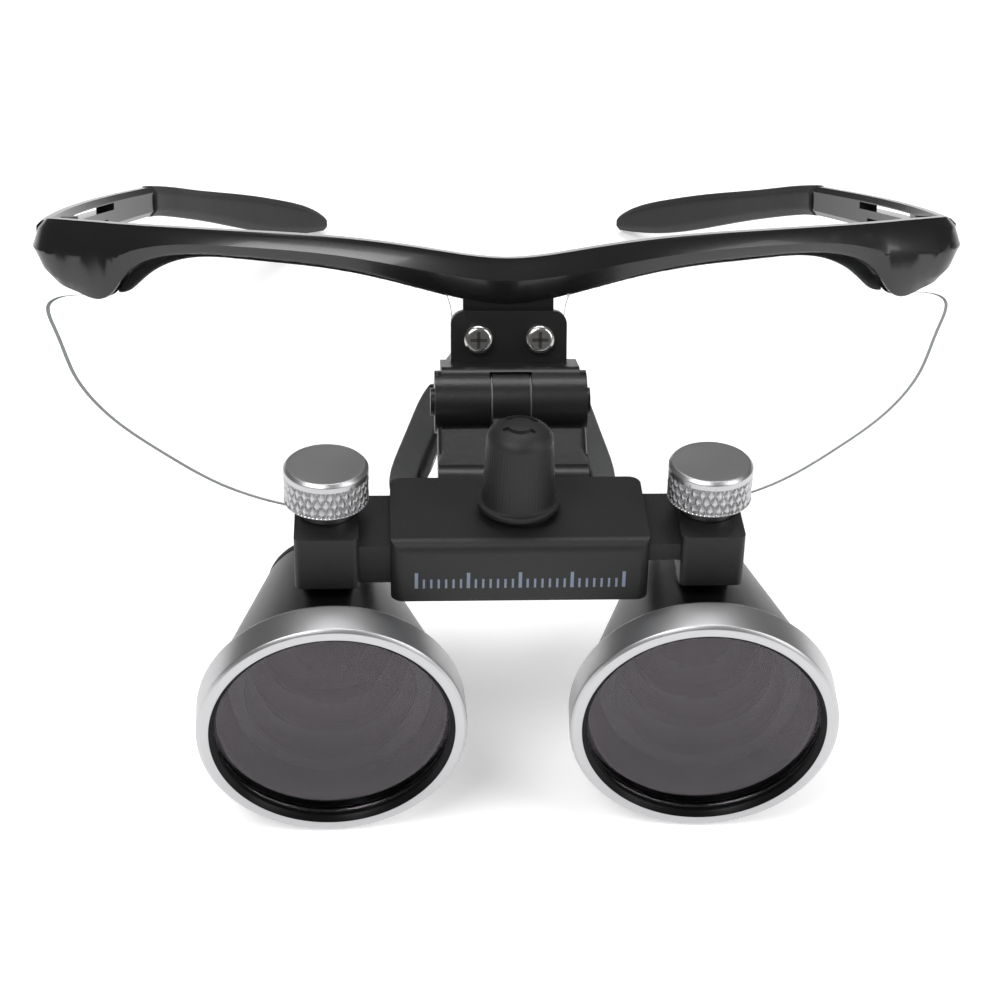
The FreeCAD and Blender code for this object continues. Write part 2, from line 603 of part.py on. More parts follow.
def build_bracket_screws():
    screws = []
    for name, side in SIDES:
        x = f"{side} * bracket_screw_x"
        face = "tab_front - plate_thick"
        shank = rod(f"bracket_shank_{name}", "y", "bracket_screw_radius", f"{face} - 0.5",
                    "tab_back + backing_thick - 0.1", x, "bracket_screw_z")
        head = rod(f"bracket_head_{name}", "y", "bracket_head_radius", f"{face} - bracket_head_height",
                   face,
                   x, "bracket_screw_z")
        head = rounded(f"bracket_head_round_{name}", head, "rail_soft",
                       lambda edge: edge.CenterOfMass.y < size("tab_front") - size("plate_thick") - 1)
        cross = [box(f"cross_wide_{name}", (f"{x} - 1.25", f"{x} + 1.25"),
                     (f"{face} - bracket_head_height - 1", f"{face} - 0.8"),
                     ("bracket_screw_z - 0.25", "bracket_screw_z + 0.25")),
                 box(f"cross_tall_{name}", (f"{x} - 0.25", f"{x} + 0.25"),
                     (f"{face} - bracket_head_height - 1", f"{face} - 0.8"),
                     ("bracket_screw_z - 1.25", "bracket_screw_z + 1.25"))]
        screws.append(cut(f"bracket_screw_{name}", fused(f"bracket_screw_solid_{name}", [shank, head]),
                          cross))
    group = doc.addObject("Part::Compound", "bracket_screw_group")
    group.Links = screws
    add_node("bracket_screws", group, WEARER)


def build_backing_plate():
    plate = box("backing_blank", ("-backing_half", "backing_half"),
                ("tab_back", "tab_back + backing_thick"),
                ("tab_bottom + 0.4", "backing_top"))
    tools = [rod(f"backing_hole_{name}", "y", "bracket_hole", "tab_back - 1",
                 "tab_back + backing_thick + 1",
                 f"{side} * bracket_screw_x", "bracket_screw_z") for name, side in SIDES]
    add_node("backing_plate", cut("backing_cut", plate, tools), WEARER)


def build_flip_pin():
    pin = rod("flip_pin_shank", "x", "flip_pin_radius", "-flip_half - 0.1", "flip_half + 0.1", "flip_y",
              "flip_z")
    heads = [rod(f"flip_pin_head_{name}", "x", "pin_head",
                 f"{side} * (flip_half + 0.02 + pin_head_thick / 2)"
                 " - pin_head_thick / 2", f"{side} * (flip_half + 0.02 + pin_head_thick / 2) + pin_head_thick / 2",
                 "flip_y", "flip_z") for name, side in SIDES]
    add_node("flip_pin", fused("flip_pin_solid", [pin] + heads), WEARER)


# ---- link ------------------------------------------------------------------------------


def build_flip_link():
    half = "link_thick / 2"
    pieces = []
    for name, side in SIDES:
        middle = f"{side} * (tilt_eye_inner + link_half) / 2"
        reach = "(link_half - tilt_eye_inner) / 2"
        pieces.append(rod(f"tilt_eye_{name}", "x", "tilt_radius", f"{middle} - {reach}",
                          f"{middle} + {reach}", "0", "0"))
        pieces.append(side_box(f"tilt_neck_{name}", side, ("tilt_eye_inner", "link_half"),
                               ("0", "link_start + 0.1"),
                               (f"-{half}", half)))
    slab = box("link_slab", ("-link_half", "link_half"), ("link_start", "link_end"), (f"-{half}", half))
    slab = rounded("link_slab_round", slab, "rail_soft", lambda edge: runs_along(edge, Vector(0, 1, 0)))
    flip_neck = box("flip_neck", ("-flip_eye_half", "flip_eye_half"), ("link_end - 0.1", "link_reach"),
                    (f"-{half}", half))
    flip_eye = rod("flip_eye", "x", "flip_radius", "-flip_eye_half", "flip_eye_half", "link_reach", "0")
    solid = fused("link_solid", pieces + [slab, flip_neck, flip_eye])
    recess = box("link_recess_cut", ("-link_half + link_lip", "link_half - link_lip"),
                 ("link_start + 0.8", "link_end + 0.1"),
                 (f"{half} - link_recess", f"{half} + 1"))
    recess_keep = box("link_recess_keep", ("-flip_eye_half", "flip_eye_half"),
                      ("link_end - 0.1", "link_end + 1"),
                      (f"{half} - link_recess - 1", f"{half} + 2"))
    tools = [cut("link_recess_tool", recess, [recess_keep]),
             rod("link_flip_bore", "x", "flip_hole", "-link_half", "link_half", "link_reach", "0"),
             rod("link_tilt_bore", "x", "tilt_hole", "-link_half", "link_half", "0", "0")]
    add_node("flip_link", cut("link_cut", solid, tools), LINK)


def build_flip_washers():
    washers = []
    for name, side in SIDES:
        middle = f"{side} * (flip_eye_half + 0.03 + washer_thick / 2)"
        span = (f"{middle} - washer_thick / 2", f"{middle} + washer_thick / 2")
        disc = rod(f"washer_disc_{name}", "x", "washer_radius", span[0], span[1], "link_reach", "0")
        hole = rod(f"washer_hole_{name}", "x", "flip_hole", f"{span[0]} - 1", f"{span[1]} + 1",
                   "link_reach", "0")
        washers.append(cut(f"flip_washer_{name}", disc, [hole]))
    group = doc.addObject("Part::Compound", "flip_washer_group")
    group.Links = washers
    add_node("flip_washers", group, LINK)


# ---- rail ------------------------------------------------------------------------------


def build_rail_housing():
    block = box("rail_block", ("-rail_half", "rail_half"), ("-rail_half_depth", "rail_half_depth"),
                ("-rail_height", "0"))
    block = rounded("rail_round_ends", block, "rail_round",
                    lambda edge: runs_along(edge, Z_AXIS) or
                    (runs_along(edge, X_AXIS) and edge.CenterOfMass.z > -1 and edge.CenterOfMass.y < 0))
    web = box("tilt_web", ("-tilt_lug_half", "tilt_lug_half"), ("rail_half_depth - 1", "tilt_y"),
              ("tilt_z - tilt_radius", "tilt_z + tilt_radius - 0.4"))
    lug = rod("tilt_lug", "x", "tilt_radius", "-tilt_lug_half", "tilt_lug_half", "tilt_y", "tilt_z")
    solid = fused("rail_solid", [block, web, lug])
    tools = [box("rail_cavity", ("-rail_half - 1", "rail_half + 1"), ("-cavity_half", "cavity_half"),
                 ("cavity_floor", "cavity_roof")),
             box("rail_mouth", ("-base_half - 0.05", "base_half + 0.05"),
                 ("-base_half_depth - 0.05", "base_half_depth + 0.05"),
                 ("-rail_height - 1", "cavity_floor + 0.5")),
             rod("bush_hole", "z", "bush_radius + 0.03", "cavity_roof - 1", "1", "0", "0"),
             rod("tilt_lug_bore", "x", "tilt_pin_radius + 0.03", "-link_half - 1", "link_half + 1",
                 "tilt_y", "tilt_z")]
    add_node("rail_housing", cut("rail_housing_cut", solid, tools), RAIL)


def build_rail_base():
    plate = box("rail_base_blank", ("-base_half", "base_half"), ("-base_half_depth", "base_half_depth"),
                ("-rail_height", "cavity_floor - 0.1"))
    tools = []
    for name, side in SIDES:
        for place, way in (("front", -1), ("back", 1)):
            spot = (f"{side} * base_screw_x", f"{way} * base_screw_y")
            tools.append(rod(f"base_hole_{place}_{name}", "z", "base_screw_radius + 0.03",
                             "-rail_height - 1",
                             "cavity_floor + 1", *spot))
            tools.append(rod(f"base_sink_{place}_{name}", "z", "base_head_radius + 0.03",
                             "-rail_height - 1",
                             "-rail_height + base_head_height + 0.1", *spot))
    add_node("rail_base", cut("rail_base_cut", plate, tools), RAIL)


def build_base_screws():
    screws = []
    for name, side in SIDES:
        for place, way in (("front", -1), ("back", 1)):
            spot = (f"{side} * base_screw_x", f"{way} * base_screw_y")
            head = rod(f"base_head_{place}_{name}", "z", "base_head_radius", "-rail_height + 0.05",
                       "-rail_height + base_head_height + 0.05", *spot)
            shank = rod(f"base_shank_{place}_{name}", "z", "base_screw_radius", "-rail_height + 0.2",
                        "cavity_floor - 0.15", *spot)
            screws.append(fused(f"base_screw_{place}_{name}", [head, shank]))
    group = doc.addObject("Part::Compound", "base_screw_group")
    group.Links = screws
    add_node("base_screws", group, RAIL)


def build_tilt_pin():
    pin = rod("tilt_pin_shank", "x", "tilt_pin_radius", "-tilt_pin_half", "tilt_pin_half", "tilt_y",
              "tilt_z")
    add_node("tilt_pin", rounded("tilt_pin_round", pin, "hinge_gap", lambda edge: edge.Closed), RAIL)


# ---- knob and pinion -------------------------------------------------------------------


def build_knob_bush():
    corners = (("bush_bore", "cavity_roof"), ("bush_radius", "cavity_roof"), ("bush_radius", "0.02"),
               ("bush_flange", "0.02"), ("bush_flange", "bush_rise - 0.3"),
               ("bush_flange - 0.3", "bush_rise"),
               ("bush_bore", "bush_rise"))
    add_node("knob_bush", turned("knob_bush_body", "XZ_Plane", corners), RAIL)


def build_pinion_shaft():
    shaft = rod("shaft_rod", "z", "shaft_radius", "shaft_bottom", "shaft_top", "0", "0")
    core = rod("gear_core", "z", "gear_root", "gear_bottom", "gear_top", "0", "0")
    teeth = []
    count = int(size("gear_teeth"))
    for index in range(count):
        turn = Rotation(Z_AXIS, index * 360 / count)
        corners = ((size("gear_root") - 0.2, -size("gear_foot_half")),
                   (size("gear_outer"), -size("gear_tip_half")),
                   (size("gear_outer"), size("gear_tip_half")),
                   (size("gear_root") - 0.2, size("gear_foot_half")))
        points = [turn.multVec(Vector(out, across, size("gear_bottom"))) for out, across in corners]
        tooth = doc.addObject("Part::Feature", f"gear_tooth_{index}")
        face = Part.Face(Part.makePolygon(points + points[:1]))
        tooth.Shape = face.extrude(Vector(0, 0, size("gear_top") - size("gear_bottom")))
        teeth.append(tooth)
    add_node("pinion_shaft", fused("pinion_solid", [shaft, core] + teeth), RAIL)


def build_knob_cap():
    """Soft cone cap: rim, tapering wall, domed top and a blind bore over the shaft."""
    dome = []
    shoulder = size("knob_shoulder")
    rise = size("knob_top") - size("knob_shoulder_z")
    for degrees in (0, 18, 36, 54, 72):
        turn = math.radians(degrees)
        dome.append((f"knob_shoulder * {math.cos(turn):.4f}",
                     f"knob_shoulder_z + (knob_top - knob_shoulder_z) * {math.sin(turn):.4f}"))
    corners = ([("knob_skirt", "knob_base"), ("knob_rim - 0.3", "knob_base"),
                ("knob_rim", "knob_base + 0.3"),
                ("knob_rim", "knob_rim_top - 0.3"), ("knob_rim - 0.3", "knob_rim_top"),
                ("knob_foot", "knob_rim_top")]
               + dome + [("0", "knob_top"), ("0", "shaft_top + 0.05"), ("knob_bore", "shaft_top + 0.05"),
                         ("knob_bore", "knob_skirt_z"), ("knob_skirt", "knob_skirt_z")])
    add_node("knob_cap", turned("knob_cap_body", "XZ_Plane", corners), RAIL)


# ---- sliding arms ----------------------------------------------------------------------


def rack_teeth(name, side):
    """Teeth of one rack, facing the pinion. The left rack runs in front, the right one behind."""
    pitch = 2 * math.pi * size("gear_pitch") / size("gear_teeth")
    teeth = []
    for index in range(-7, 5):
        middle = -side * (index + 0.5) * pitch
        foot = size("bar_inner") + 0.1
        corners = ((middle - size("rack_foot_half"), foot),
                   (middle - size("rack_tip_half"), size("rack_tip")),
                   (middle + size("rack_tip_half"), size("rack_tip")),
                   (middle + size("rack_foot_half"), foot))
        points = [Vector(x, side * y, size("gear_bottom")) for x, y in corners]
        tooth = doc.addObject("Part::Feature", f"rack_tooth_{name}_{index + 7}")
        face = Part.Face(Part.makePolygon(points + points[:1]))
        tooth.Shape = face.extrude(Vector(0, 0, size("gear_top") - size("gear_bottom")))
        teeth.append(tooth)
    return teeth


def build_slides():
    for name, side in SIDES:
        block = side_box(f"block_{name}", side, ("block_x - block_half", "block_x + block_half"),
                         ("-block_half_depth", "block_half_depth"), ("block_bottom", "block_top"))
        block = rounded(f"block_round_{name}", block, "block_round", lambda edge: runs_along(edge, Z_AXIS))
        plate = side_box(f"arm_plate_{name}", side, ("arm_start", "block_x"), ("-arm_half", "arm_half"),
                         ("arm_top - arm_thick", "arm_top"))
        low, high = ("-arm_half", "-bar_inner") if side < 0 else ("bar_inner", "arm_half")
        rack = side_box(f"rack_bar_{name}", side, ("-rack_end", "block_x"), (low, high),
                        ("rack_bottom", "rack_top"))
        solid = fused(f"slide_solid_{name}", [block, plate, rack] + rack_teeth(name, side))
        bore = rod(f"block_bore_{name}", "z", "block_bore", "block_bottom - 1", "block_top + 1",
                   f"{side} * block_x", "0")
        add_node(f"slide_{name}", cut(f"slide_{name}_cut", solid, [bore]), RAIL)


def build_thumb_screws():
    for name, side in SIDES:
        corners = (("0", "thumb_depth"), ("thumb_shank", "thumb_depth"),
                   ("thumb_shank", "block_top + 0.02"),
                   ("thumb_collar", "block_top + 0.02"), ("thumb_collar", "thumb_base"),
                   ("thumb_radius - thumb_chamfer", "thumb_base"),
                   ("thumb_radius", "thumb_base + thumb_chamfer"),
                   ("thumb_radius", "thumb_height - thumb_chamfer"),
                   ("thumb_radius - thumb_chamfer", "thumb_height"), ("0", "thumb_height"))
        frame = RAIL * Placement(Vector(side * size("block_x"), 0, 0), Rotation())
        add_node(f"thumb_screw_{name}", turned(f"thumb_screw_{name}_body", "XZ_Plane", corners), frame)


# ---- barrels ---------------------------------------------------------------------------


def build_barrel_saddles():
    """Post under each block: its stud turns in the block and its foot sits on the barrel."""
    for name, side in SIDES:
        x = f"{side} * block_x"
        stud = rod(f"saddle_stud_{name}", "z", "stud_radius", "saddle_bottom", "stud_top", x, "0")
        post = rod(f"saddle_post_{name}", "z", "saddle_radius", "saddle_bottom",
                   "block_bottom - saddle_gap", x, "0")
        solid = fused(f"saddle_solid_{name}", [stud, post])
        bore = rod(f"saddle_bore_{name}", "z", "stud_bore", "thumb_depth - 0.5", "stud_top + 1", x, "0")
        corners = (("0", "ring_length"), ("shell_large + 0.02", "ring_length"),
                   ("shell_small + 0.02", "shell_end"), ("0", "shell_end"))
        cone = turned(f"saddle_cone_{name}", "XY_Plane", corners)
        cone.Placement = RAIL.inverse() * barrel_frame(side)
        add_node(f"barrel_saddle_{name}", cut(f"barrel_saddle_{name}_cut", solid, [bore, cone]), RAIL)


def build_objective_ring(name, frame):
    corners = (("ring_lip_radius", "ring_bevel"), ("ring_lip_radius + ring_bevel", "0"),
               ("ring_radius - ring_chamfer", "0"), ("ring_radius", "ring_chamfer"),
               ("ring_radius", "ring_length - ring_chamfer"), ("ring_radius - ring_chamfer", "ring_length"),
               ("ring_bore", "ring_length"), ("ring_bore", "ring_lip"), ("ring_lip_radius", "ring_lip"))
    add_node(f"objective_ring_{name}", turned(f"objective_ring_{name}_body", "XY_Plane", corners), frame)


def build_barrel_shell(name, frame):
    corners = (("shell_spigot - shell_wall", "shell_front"), ("shell_spigot", "shell_front"),
               ("shell_spigot", "ring_length + 0.05"), ("shell_large", "ring_length + 0.05"),
               ("shell_small", "shell_end"), ("shell_eye - 0.6", "shell_end"),
               ("shell_eye - 0.6", "eyepiece_back + 0.05"),
               ("shell_eye", "eyepiece_back + 0.05"), ("shell_eye", "eyepiece_front - 1"),
               ("shell_small - 0.3", "eyepiece_front - 2.5"),
               ("shell_large - shell_wall", "ring_length + 1"),
               ("shell_spigot - shell_wall", "ring_length"))
    add_node(f"barrel_shell_{name}", turned(f"barrel_shell_{name}_body", "XY_Plane", corners), frame)


def build_glass(name, part, frame):
    """Lens with a domed front: a disc shared with a sphere."""
    disc = rod(f"{part}_disc_{name}", "y", f"{part}_radius", f"{part}_front", f"{part}_back", "0", "0")
    dome = ball(f"{part}_dome_{name}", f"{part}_curve", f"{part}_front + {part}_curve")
    add_node(f"{part}_lens_{name}", common(f"{part}_lens_{name}_cut", disc, dome), frame)


def build_baffle(name, frame):
    """Stepped blackened tube between the lenses, narrowing towards the eye."""
    outer = []
    inner = []
    for step in range(4):
        radius = f"baffle_large - {step} * baffle_drop"
        start = f"baffle_start + {step} * baffle_step"
        end = f"baffle_start + {step + 1} * baffle_step"
        outer += [(radius, start), (radius, end)]
        inner += [(f"{radius} - baffle_wall - baffle_lip", start),
                  (f"{radius} - baffle_wall - baffle_lip", f"{start} + 0.6"),
                  (f"{radius} - baffle_wall", f"{start} + 0.6"),
                  (f"{radius} - baffle_wall", f"{end} - 0.6")]
    last = f"baffle_large - 3 * baffle_drop - baffle_wall"
    corners = outer + [(f"{last} - baffle_lip", f"baffle_start + 4 * baffle_step"),
                       (f"{last} - baffle_lip",
                        f"baffle_start + 4 * baffle_step - 0.6")] + list(reversed(inner))
    add_node(f"inner_baffle_{name}", turned(f"inner_baffle_{name}_body", "XY_Plane", corners), frame)


def build_eyecup(name, frame):
    corners = (("eyecup_bore", "eyecup_start"), ("shell_small", "eyecup_start"),
               ("eyecup_outer", "eyecup_end - 0.4"),
               ("eyecup_outer - 0.4", "eyecup_end"), ("eyecup_bore + 0.5", "eyecup_end"),
               ("eyecup_bore", "eyecup_end - 0.5"))
    add_node(f"eyepiece_ring_{name}", turned(f"eyepiece_ring_{name}_body", "XY_Plane", corners), frame)


def build_barrels():
    build_barrel_saddles()
    for name, side in SIDES:
        frame = barrel_frame(side)
        build_objective_ring(name, frame)
        build_barrel_shell(name, frame)
        build_glass(name, "objective", frame)
        build_glass(name, "eyepiece", frame)
        build_baffle(name, frame)
        build_eyecup(name, frame)


# ---- everything ------------------------------------------------------------------------

build_brow_frame()
build_brow_liner()
build_lenses()
build_temples()
build_hinge_screws()
build_nose_saddle()
build_nose_pads()
build_bridge_bracket()
build_bracket_screws()
build_backing_plate()
build_flip_pin()
build_flip_link()
build_flip_washers()
build_rail_housing()
build_rail_base()
build_base_screws()
build_tilt_pin()
build_knob_bush()
build_pinion_shaft()
build_knob_cap()
build_slides()
build_thumb_screws()
build_barrels()
doc.recompute()

for item in doc.Objects:
    bad = [state for state in item.State if state in ("Invalid", "Error")]
    if bad:
        raise SystemExit(f"{item.Label}: {bad}")
for solid in nodes:
    if solid.Shape.isNull() or not solid.Shape.isValid() or not solid.Shape.Solids:
        raise SystemExit(f"{solid.Label}: bad shape")
for solid in nodes:
    solid.Shape.exportStep(f"parts/{solid.Label}.step")
print(len(nodes), "nodes written")
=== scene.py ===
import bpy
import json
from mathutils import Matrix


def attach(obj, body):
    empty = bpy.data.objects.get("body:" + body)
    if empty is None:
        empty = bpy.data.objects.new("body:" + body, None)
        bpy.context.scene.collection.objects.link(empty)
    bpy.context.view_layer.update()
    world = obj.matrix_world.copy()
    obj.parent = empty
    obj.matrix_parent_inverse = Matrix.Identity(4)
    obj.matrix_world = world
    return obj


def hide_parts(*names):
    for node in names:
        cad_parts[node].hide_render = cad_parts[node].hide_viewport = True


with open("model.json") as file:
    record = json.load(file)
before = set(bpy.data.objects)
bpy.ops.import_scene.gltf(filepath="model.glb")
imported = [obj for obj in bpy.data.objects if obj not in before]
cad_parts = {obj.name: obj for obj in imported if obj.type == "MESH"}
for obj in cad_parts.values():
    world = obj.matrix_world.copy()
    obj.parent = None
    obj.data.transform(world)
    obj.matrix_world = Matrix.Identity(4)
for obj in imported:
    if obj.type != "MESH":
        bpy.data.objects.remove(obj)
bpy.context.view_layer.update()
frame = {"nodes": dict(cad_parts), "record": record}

import json
import math

import bmesh
import bpy
from mathutils import Matrix, Vector

# Looks of the dental loupes. Lengths are in metres in the row frame. Everything sits where the
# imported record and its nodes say, so nothing here repeats a position by hand.

MM = 0.001
# Distances in millimetres in the frame whose origin lies midway between the temple hinges.
BROW_TO_HINGE = 3.7
LENS_CENTRE_BACK = 111.3
BRACKET_SCREW = (4.65, -28.9, -12.7)
RING_FOOT_TO_AXIS = 18.4
THUMB_HEAD_RISE = 1.75
SIDES = (("left", -1), ("right", 1))
record = frame["record"]
joints = {joint["name"]: joint for joint in record["behaviour"]["joints"]}
mounts = {mount["name"]: mount for mount in record["mounts"]}
scene = bpy.context.scene


# ---- frames read from the record -------------------------------------------------------


def axes(origin, x_axis, y_axis, z_axis):
    """Matrix that takes local coordinates to the row frame."""
    matrix = Matrix((x_axis, y_axis, z_axis)).transposed().to_4x4()
    matrix.translation = origin
    return matrix


def pitched_frame(origin, up):
    """Frame with X across, Z along up and Y towards the back."""
    across = Vector((1, 0, 0))
    return axes(Vector(origin), across, up.cross(across).normalized(), up)


UP_WEARER = Vector(joints["temple_right_fold"]["axis"]).normalized()
UP_RAIL = Vector(joints["knob_turn"]["axis"]).normalized()
WEARER = pitched_frame((Vector(joints["temple_left_fold"]["pos_m"]) + Vector(joints["temple_right_fold"]["pos_m"])) / 2,
                       UP_WEARER)
KNOB = pitched_frame(joints["knob_turn"]["pos_m"], UP_RAIL)


def thumb_frame(name):
    """Frame of one thumb screw, level with the top of the rail."""
    return pitched_frame(joints[f"thumb_turn_{name}"]["pos_m"], UP_RAIL)


def barrel_frame(name):
    """Frame at the front centre of one objective ring, Z back along the barrel."""
    mount = mounts[f"{name}_ring_face"]
    back = -Vector(mount["axis"]).normalized()
    across = back.cross(UP_RAIL).normalized()
    up = across.cross(back)
    centre = Vector(mount["pos_m"]) + up * RING_FOOT_TO_AXIS * MM
    return axes(centre, across, -up, back)


# ---- materials -------------------------------------------------------------------------


def material(name, colour, roughness, metallic=0.0, grain=600.0, bump=0.05, uneven=0.08, scratches=0.0,
             coat=0.0, mottle=0.06, specular=0.5, depth=0.0002):
    """Surface with a fine bump, uneven roughness, slight colour changes and optional scratches."""
    made = bpy.data.materials.new(name)
    made.use_nodes = True
    tree = made.node_tree
    shader = tree.nodes["Principled BSDF"]
    shader.inputs["Metallic"].default_value = metallic
    shader.inputs["Specular IOR Level"].default_value = specular
    shader.inputs["Coat Weight"].default_value = coat
    shader.inputs["Coat Roughness"].default_value = 0.04
    place = tree.nodes.new("ShaderNodeTexCoord")
    fine = tree.nodes.new("ShaderNodeTexNoise")
    fine.inputs["Scale"].default_value = grain
    fine.inputs["Detail"].default_value = 6
    broad = tree.nodes.new("ShaderNodeTexNoise")
    broad.inputs["Scale"].default_value = 45
    broad.inputs["Detail"].default_value = 4
    tree.links.new(place.outputs["Object"], fine.inputs["Vector"])
    tree.links.new(place.outputs["Object"], broad.inputs["Vector"])
    rough = tree.nodes.new("ShaderNodeMapRange")
    rough.inputs["To Min"].default_value = max(0.02, roughness - uneven)
    rough.inputs["To Max"].default_value = min(1.0, roughness + uneven)
    tree.links.new(broad.outputs["Fac"], rough.inputs["Value"])
    tree.links.new(rough.outputs["Result"], shader.inputs["Roughness"])
    ramp = tree.nodes.new("ShaderNodeValToRGB")
    ramp.color_ramp.elements[0].position = 0.35
    ramp.color_ramp.elements[1].position = 0.7
    ramp.color_ramp.elements[0].color = [value * (1 - mottle) for value in colour] + [1]
    ramp.color_ramp.elements[1].color = [min(1, value * (1 + mottle)) for value in colour] + [1]
    tree.links.new(broad.outputs["Fac"], ramp.inputs["Fac"])
    tree.links.new(ramp.outputs["Color"], shader.inputs["Base Color"])
    height = fine.outputs["Fac"]
    if scratches:
        marks = tree.nodes.new("ShaderNodeTexWave")
        marks.inputs["Scale"].default_value = 900
        marks.inputs["Distortion"].default_value = 9
        marks.inputs["Detail"].default_value = 5
        tree.links.new(place.outputs["Object"], marks.inputs["Vector"])
        blend = tree.nodes.new("ShaderNodeMix")
        blend.data_type = "FLOAT"
        blend.inputs["Factor"].default_value = scratches
        tree.links.new(fine.outputs["Fac"], blend.inputs["A"])
        tree.links.new(marks.outputs["Fac"], blend.inputs["B"])
        height = blend.outputs["Result"]
    relief = tree.nodes.new("ShaderNodeBump")
    relief.inputs["Strength"].default_value = bump
    relief.inputs["Distance"].default_value = depth
    tree.links.new(height, relief.inputs["Height"])
    tree.links.new(relief.outputs["Normal"], shader.inputs["Normal"])
    return made


def glass(name, tint, roughness, ior, sheen=(1, 1, 1)):
    """Clear or coated glass with faint smears in its roughness."""
    made = material(name, tint, roughness, grain=40, bump=0.002, uneven=0.012, mottle=0.02, depth=0.000002)
    shader = made.node_tree.nodes["Principled BSDF"]
    shader.inputs["Transmission Weight"].default_value = 1.0
    shader.inputs["IOR"].default_value = ior
    shader.inputs["Specular Tint"].default_value = (*sheen, 1)
    return made


LOOKS = {
    "frame_gloss": material("frame_gloss", (0.008, 0.008, 0.0085), 0.22, grain=900, bump=0.02,
                            uneven=0.05, coat=0.2),
    "liner_matte": material("liner_matte", (0.012, 0.012, 0.013), 0.72, grain=1500, bump=0.2, specular=0.3),
    "clear_lens": glass("clear_lens", (0.985, 0.995, 0.99), 0.015, 1.22),
    "lens_edge": material("lens_edge", (0.16, 0.18, 0.17), 0.4, grain=1200, bump=0.05),
    "sock_rubber": material("sock_rubber", (0.01, 0.01, 0.0105), 0.55, grain=2200, bump=0.2, specular=0.35),
    "saddle_plastic": material("saddle_plastic", (0.009, 0.009, 0.0095), 0.35, grain=900, bump=0.06),
    "pad_rubber": material("pad_rubber", (0.012, 0.012, 0.0125), 0.42, grain=1600, bump=0.15),
    "bracket_black": material("bracket_black", (0.009, 0.009, 0.0095), 0.36, grain=1400, bump=0.12,
                              specular=0.45),
    "screw_steel": material("screw_steel", (0.55, 0.54, 0.53), 0.24, metallic=1.0, grain=1800, bump=0.06,
                            scratches=0.4),
    "washer_polymer": material("washer_polymer", (0.3, 0.3, 0.29), 0.5, bump=0.08),
    "rail_matte": material("rail_matte", (0.011, 0.011, 0.0115), 0.5, grain=2600, bump=0.2, specular=0.4),
    "brass_gear": material("brass_gear", (0.6, 0.43, 0.18), 0.28, metallic=1.0, bump=0.08, scratches=0.3),
    "knob_rubber": material("knob_rubber", (0.013, 0.013, 0.014), 0.52, grain=2400, bump=0.2, specular=0.4),
    "satin_aluminium": material("satin_aluminium", (0.52, 0.52, 0.53), 0.36, metallic=1.0, grain=2400,
                                bump=0.06,
                                scratches=0.2, mottle=0.03),
    "barrel_black": material("barrel_black", (0.005, 0.005, 0.0055), 0.3, grain=700, bump=0.015,
                             uneven=0.05,
                             specular=0.12),
    "optic_glass": glass("optic_glass", (0.62, 0.62, 0.62), 0.015, 1.5, sheen=(0.95, 0.85, 0.95)),
    "baffle_black": material("baffle_black", (0.045, 0.045, 0.047), 0.38, metallic=0.5, grain=1500,
                             bump=0.1),
    "eyecup_rubber": material("eyecup_rubber", (0.012, 0.012, 0.012), 0.6, grain=1800, bump=0.2),
    "cross_shadow": material("cross_shadow", (0.02, 0.018, 0.016), 0.7, bump=0.1),
    "scale_print": material("scale_print", (0.17, 0.21, 0.28), 0.5, grain=3000, bump=0.1),
}


# ---- mesh helpers ----------------------------------------------------------------------


def finished(name, mesh, body, look, replaced=(), sharp=40):
    """Object from a mesh already in the row frame, riding on its CAD body."""
    made = bpy.data.objects.new(name, mesh)
    scene.collection.objects.link(made)
    mesh.materials.clear()
    mesh.materials.append(LOOKS[look])
    mesh.shade_smooth()
    mesh.set_sharp_from_angle(angle=math.radians(sharp))
    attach(made, body)
    if replaced:
        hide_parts(*replaced)
    return made


def softened(points, reach, steps=4):
    """Profile with each inner corner rounded over a distance of up to reach."""
    result = [points[0]]
    for before, corner, after in zip(points, points[1:], points[2:]):
        corner_v = Vector(corner)
        back = Vector(before) - corner_v
        ahead = Vector(after) - corner_v
        start = corner_v + back * min(reach / max(back.length, 1e-9), 0.45)
        end = corner_v + ahead * min(reach / max(ahead.length, 1e-9), 0.45)
        for step in range(steps + 1):
            part = step / steps
            point = start * (1 - part) ** 2 + corner_v * 2 * part * (1 - part) + end * part ** 2
            result.append(tuple(point))
    result.append(points[-1])
    return result


def turned(name, profile, place, body, look, replaced=(), count=160, wave=None, closed=True, sharp=40):
    """Solid of revolution about local Z from (radius, height) in millimetres; wave may shift the radius."""
    mesh = bpy.data.meshes.new(name)
    form = bmesh.new()
    rings = []
    for radius, height in profile:
        ring = []
        for index in range(count):
            turn = 2 * math.pi * index / count
            reach = radius
            rise = height
            if wave:
                reach, rise = wave(radius, height, turn)
            ring.append(form.verts.new(place @ Vector((reach * math.cos(turn), reach * math.sin(turn),
                                                       rise))))
        rings.append(ring)
    pairs = list(zip(rings, rings[1:]))
    if closed:
        pairs.append((rings[-1], rings[0]))
    for lower, upper in pairs:
        for index in range(count):
            after = (index + 1) % count
            form.faces.new((lower[index], lower[after], upper[after], upper[index]))
    if not closed:
        for ring in (rings[0], rings[-1]):
            form.faces.new(ring)
    bmesh.ops.remove_doubles(form, verts=form.verts, dist=1e-8)
    bmesh.ops.recalc_face_normals(form, faces=form.faces)
    form.to_mesh(mesh)
    form.free()
    return finished(name, mesh, body, look, replaced, sharp)


def in_mm(place):
    """The same frame taking millimetres."""
    return place @ Matrix.Scale(MM, 4)


# ---- CAD nodes shown as they are, with softened edges -----------------------------------


